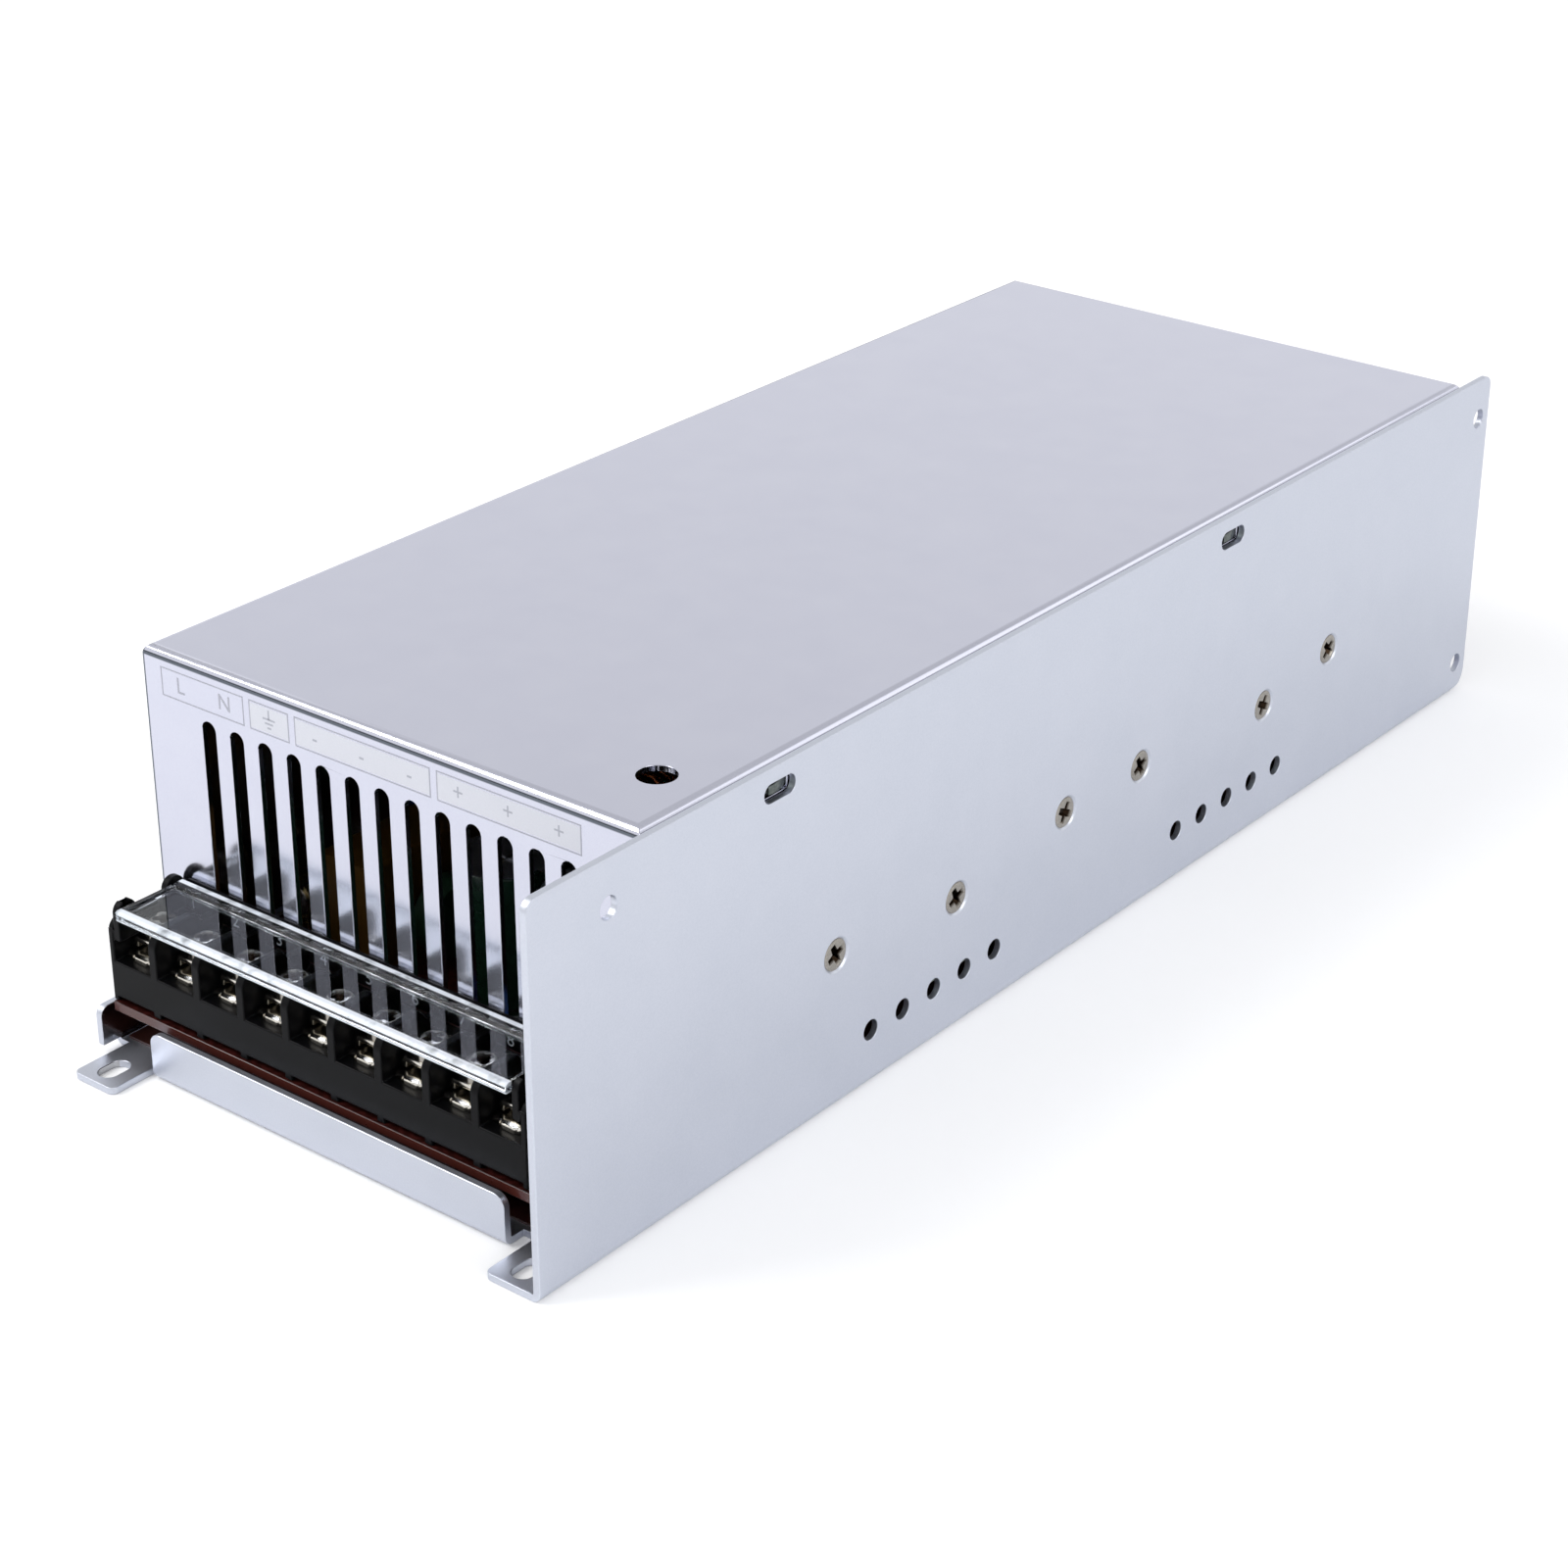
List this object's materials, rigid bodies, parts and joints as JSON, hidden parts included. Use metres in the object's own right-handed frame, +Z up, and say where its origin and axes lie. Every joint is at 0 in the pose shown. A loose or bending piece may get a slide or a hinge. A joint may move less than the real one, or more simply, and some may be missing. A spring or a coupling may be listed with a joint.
{
  "type": "enclosed switching power supply",
  "caption": "Enclosed switching power supply: slotted sheet cover on a bent chassis with a tall side plate, screw terminals under a clear flip cover, and a fan at the rear.",
  "frame": {"origin": "centre of the footprint of the sheet-metal case, on the base's underside", "axes": "+X to the right when facing the terminals, +Y from the terminals to the fan, +Z up"},
  "size_m": [0.1018, 0.26, 0.063],
  "materials": {
    "chassis_sheet": "pale mill-finish sheet, fine rolled grain",
    "cover_sheet": "satin pale grey sheet, brighter along the bends",
    "screw_nickel": "nickel plated, satin",
    "nut_steel": "zinc plated, satin",
    "pad_silicone": "matt grey filled silicone",
    "film_mylar": "milky polyester film",
    "board_laminate": "red brown solder mask on laminate",
    "post_brass": "turned brass, satin",
    "block_resin": "near black moulded resin, satin",
    "contact_plating": "tin plated brass, bright",
    "clear_resin": "clear moulded polycarbonate",
    "trimmer_blue": "blue moulded resin",
    "trimmer_white": "off-white moulded resin",
    "lamp_green": "green tinted epoxy",
    "fuse_glass": "clear glass tube",
    "fuse_cap": "nickel plated cap",
    "fuse_clip": "spring brass, tinned",
    "film_capacitor_yellow": "yellow boxed film capacitor",
    "ceramic_blue": "blue dipped ceramic",
    "thermistor_green": "dark green dipped disc",
    "filter_core_green": "green coated ferrite ring",
    "winding_copper": "enamelled copper wire",
    "package_epoxy": "black moulded epoxy",
    "can_sleeve_blue": "dark blue shrink sleeve",
    "can_sleeve_green": "dark green shrink sleeve",
    "ferrite": "dark grey ferrite",
    "winding_tape": "yellow polyester tape",
    "choke_core_yellow": "yellow coated powder ring",
    "card_green": "green solder mask on laminate",
    "fan_resin": "black moulded resin",
    "screw_black": "blackened steel",
    "selector_red": "red moulded resin"
  },
  "bodies": {
    "case": {"chassis": "chassis_sheet", "cover": "cover_sheet", "cover_screws": "screw_nickel", "side_screws": "screw_nickel", "device_nuts": "nut_steel", "device_pads": "pad_silicone", "insulating_film": "film_mylar", "circuit_board": "board_laminate", "board_standoffs": "post_brass", "board_screws": "screw_nickel", "terminal_block": "block_resin", "terminal_tongues": "contact_plating", "terminal_clamps": "contact_plating", "terminal_screws": "screw_nickel", "trimmer_body": "trimmer_blue", "status_led": "lamp_green", "fuse_tube": "fuse_glass", "fuse_caps": "fuse_cap", "fuse_clips": "fuse_clip", "filter_capacitor": "film_capacitor_yellow", "safety_capacitors": "ceramic_blue", "thermistor": "thermistor_green", "line_filter_core": "filter_core_green", "line_filter_windings": "winding_copper", "bridge_rectifier": "package_epoxy", "bulk_capacitors": "can_sleeve_blue", "transformer_core": "ferrite", "transformer_winding": "winding_tape", "power_devices": "package_epoxy", "small_devices": "package_epoxy", "output_choke_core": "choke_core_yellow", "output_choke_winding": "winding_copper", "output_capacitors": "can_sleeve_green", "control_board": "card_green", "control_chips": "package_epoxy", "fan_frame": "fan_resin", "fan_stator": "winding_copper", "fan_screws": "screw_black", "selector_body": "fan_resin"},
    "terminal_cover": {"terminal_cover": "clear_resin"},
    "fan_rotor": {"fan_rotor": "fan_resin"},
    "trimmer_rotor": {"trimmer_rotor": "trimmer_white"},
    "selector_slider": {"selector_slider": "selector_red"}
  },
  "joints": [
    {"name": "terminal_cover_flip", "type": "hinge", "parent": "case", "child": "terminal_cover", "pos_m": [-0.004, -0.10815, 0.0243], "axis": [-1, 0, 0], "range_deg": [0, 93]},
    {"name": "fan_spin", "type": "hinge", "parent": "case", "child": "fan_rotor", "pos_m": [0, 0.11, 0.0316], "axis": [0, 1, 0], "continuous": true},
    {"name": "trimmer_turn", "type": "hinge", "parent": "case", "child": "trimmer_rotor", "pos_m": [0.0395, -0.0916, 0.0126], "axis": [0, 0, 1], "range_deg": [-135, 135]},
    {"name": "selector_slide", "type": "slide", "parent": "case", "child": "selector_slider", "axis": [0, 1, 0], "range_m": [0, 0.005]}
  ]
}
